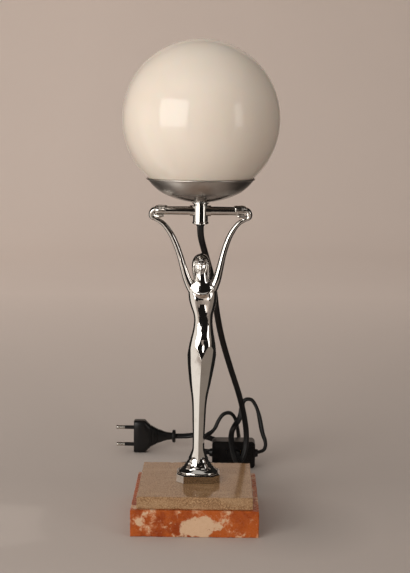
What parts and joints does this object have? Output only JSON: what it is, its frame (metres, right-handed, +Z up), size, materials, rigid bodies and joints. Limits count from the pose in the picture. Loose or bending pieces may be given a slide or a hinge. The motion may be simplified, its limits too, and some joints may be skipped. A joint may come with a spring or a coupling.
{
  "type": "figural table lamp",
  "caption": "Table lamp: a chromed standing figure on a two-tier stone base holds up a crossbar with a cup and an opal glass globe; corded, with in-line switch and plug.",
  "frame": {"origin": "on the base's underside, straight below the axis of hub, cup and globe, on the surface that the lamp stands on", "axes": "+Z up along figure and globe, figure faces -Y, +X to the viewer's right"},
  "size_m": [0.1609, 0.2774, 0.4205],
  "materials": {
    "orange_marble": "polished breccia marble, orange with cream patches",
    "beige_stone": "polished fine-grained beige limestone",
    "mirror_chrome": "bright chrome plate",
    "satin_chrome": "brushed chrome plate",
    "opal_glass": "glossy cased opal glass",
    "zinc_steel": "zinc plated",
    "brass": "plain brass",
    "nickel_pins": "nickel plated brass",
    "black_moulding": "black moulded plastic",
    "black_flex": "black sheathed flex",
    "holder_plastic": "cream thermoset",
    "ceramic_insert": "glazed porcelain",
    "bulb_glass": "satin etched glass",
    "bulb_metal": "rolled aluminium cap",
    "tungsten": "drawn wire"
  },
  "bodies": {
    "lamp": {"lower_marble_slab": "orange_marble", "upper_stone_slab": "beige_stone", "base_washer": "zinc_steel", "base_nut": "zinc_steel", "base_stud": "zinc_steel", "figure_casting": "mirror_chrome", "left_arm": "mirror_chrome", "right_arm": "mirror_chrome", "left_crossbar": "mirror_chrome", "right_crossbar": "mirror_chrome", "centre_hub": "mirror_chrome", "neck_flange": "mirror_chrome", "hollow_nipple": "zinc_steel", "cord_bush": "black_moulding", "gallery_cup": "satin_chrome", "cup_lock_nut": "zinc_steel", "holder_cap": "holder_plastic", "holder_sleeve": "holder_plastic", "holder_insert": "ceramic_insert", "screw_shell": "brass", "centre_contact": "brass", "terminal_screws": "brass", "flex_in_hub": "black_flex", "flex_coil": "black_flex", "flex_drop": "black_flex", "flex_rise": "black_flex", "flex_lead": "black_flex", "switch_front_shell": "black_moulding", "switch_rear_shell": "black_moulding", "switch_screws": "zinc_steel", "switch_contacts": "brass", "switch_sleeves": "black_flex", "plug_body": "black_moulding", "plug_pins": "nickel_pins", "pin_sleeves": "black_moulding"},
    "globe": {"opal_globe": "opal_glass"},
    "bulb": {"bulb_contact": "bulb_metal", "bulb_cap_insulator": "black_moulding", "bulb_cap": "bulb_metal", "bulb_glass": "bulb_glass", "bulb_stem": "bulb_glass", "bulb_filament": "tungsten"},
    "rocker": {"switch_rocker": "black_moulding"}
  },
  "joints": [
    {"name": "globe_lift", "type": "slide", "parent": "lamp", "child": "globe", "axis": [0, 0, 1], "range_m": [0, 0.14]},
    {"name": "bulb_unscrew", "type": "slide", "parent": "lamp", "child": "bulb", "axis": [0, 0, 1], "range_m": [0, 0.0245]},
    {"name": "rocker_tip", "type": "hinge", "parent": "lamp", "child": "rocker", "pos_m": [0.034, 0.1446, 0.014], "axis": [0, 0, 1], "range_deg": [0, 16]}
  ]
}
